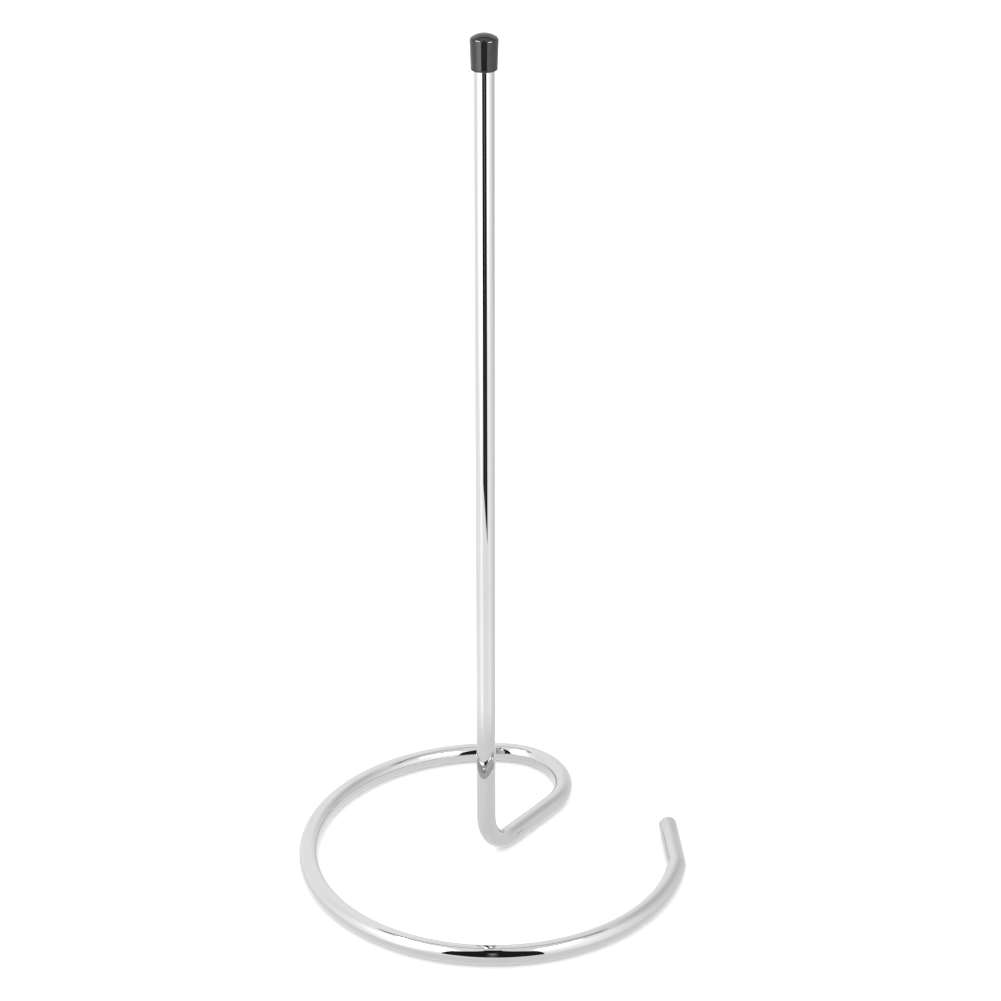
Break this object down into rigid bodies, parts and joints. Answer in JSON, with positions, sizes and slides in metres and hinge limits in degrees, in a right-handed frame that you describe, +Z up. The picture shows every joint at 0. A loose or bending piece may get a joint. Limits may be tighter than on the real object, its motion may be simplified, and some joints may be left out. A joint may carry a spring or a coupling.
{
  "type": "paper towel holder",
  "caption": "Freestanding upright roll holder: a round rod bent into a tall post, a short arm and an open base ring, with a push-on domed cap on the post's top end.",
  "frame": {"origin": "where the post's axis meets the worktop", "axes": "+Z up along the post; the arm leaves the post 53 degrees round from +X towards +Y, and the ring's free end lies on the +X side and points along +Y"},
  "size_m": [0.1645, 0.166, 0.36],
  "materials": {
    "chrome_rod": "bright nickel-chrome plating on drawn steel rod, mirror smooth",
    "black_cap": "black dip-moulded vinyl, glossy"
  },
  "bodies": {
    "rod": {"bent_rod": "chrome_rod"},
    "cap": {"end_cap": "black_cap"}
  },
  "joints": [
    {"name": "cap_pull", "type": "slide", "parent": "rod", "child": "cap", "axis": [0, 0, 1], "range_m": [0, 0.015]}
  ]
}
